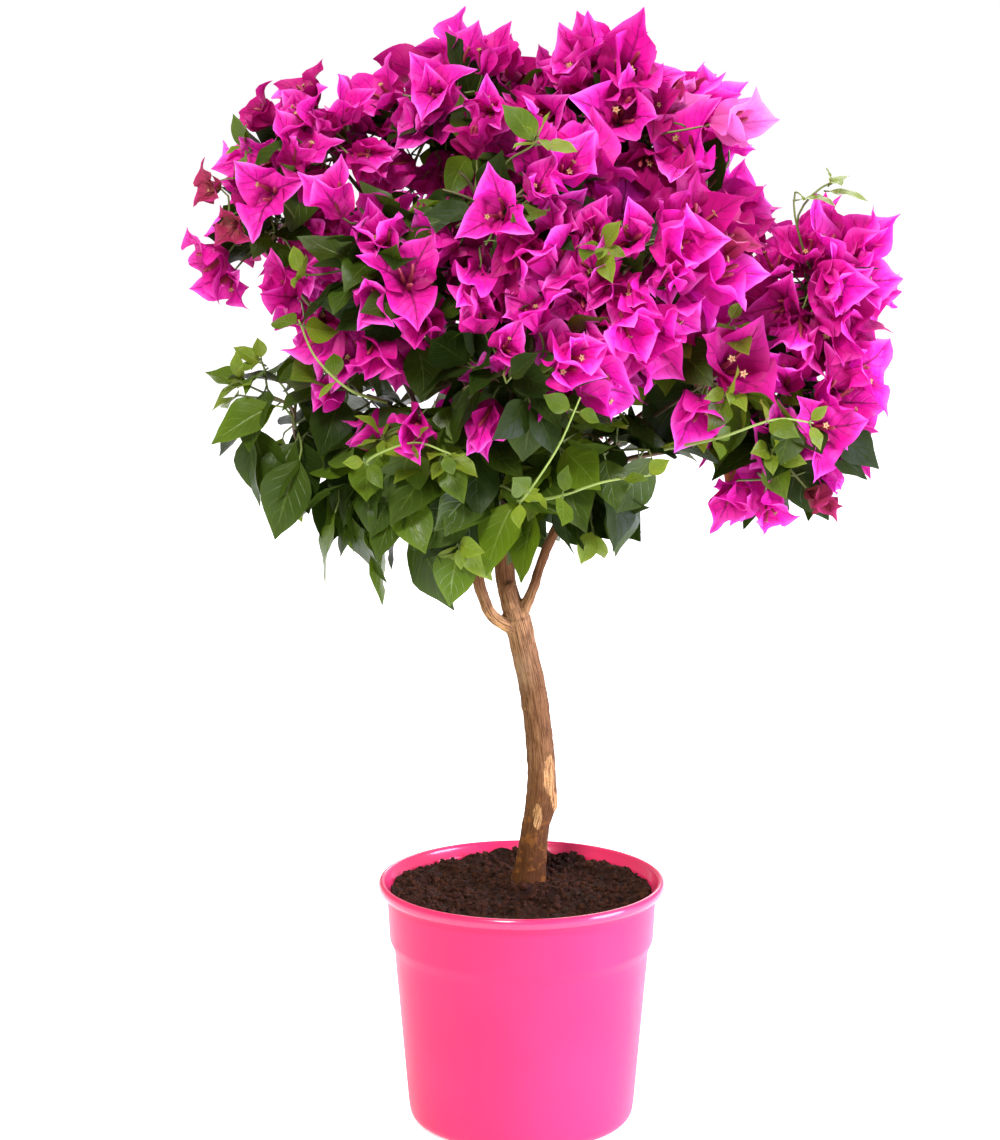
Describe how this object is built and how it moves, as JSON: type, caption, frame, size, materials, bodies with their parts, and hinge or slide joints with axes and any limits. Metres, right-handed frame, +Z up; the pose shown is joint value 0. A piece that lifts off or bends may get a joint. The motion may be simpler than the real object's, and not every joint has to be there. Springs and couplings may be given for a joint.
{
  "type": "potted bougainvillea standard",
  "caption": "Bougainvillea trained as a small standard tree with magenta bracts, in a hot-pink plastic pot of soil.",
  "frame": {"origin": "centre of the pot's flat underside", "axes": "+Z up the plant, the front faces -Y, +X to the right as seen from the front"},
  "size_m": [0.4409, 0.3227, 0.6931],
  "materials": {
    "pot_plastic": "satin",
    "potting_soil": "matte",
    "bark": "matte",
    "leaves": "satin",
    "bracts": "satin"
  },
  "bodies": {
    "root": {"pot": "pot_plastic", "soil": "potting_soil", "trunk": "bark", "bough_leader": "bark", "bough_left": "bark", "bough_right": "bark", "bough_back": "bark", "bough_front": "bark", "crest_left": "bracts", "crest_right": "bracts", "shoulder_left": "bracts", "shoulder_right": "bracts", "back_upper": "bracts", "heart": "bracts", "flank_left": "bracts", "low_left": "leaves", "skirt_left": "leaves", "back_left": "bracts", "flank_right": "bracts", "low_right": "bracts", "waist_right": "bracts", "skirt_right": "leaves", "back_right": "bracts", "front_upper": "bracts", "front_left": "bracts", "front_right": "bracts", "front_low": "bracts", "back_low": "bracts", "skirt_back": "leaves"}
  },
  "joints": []
}
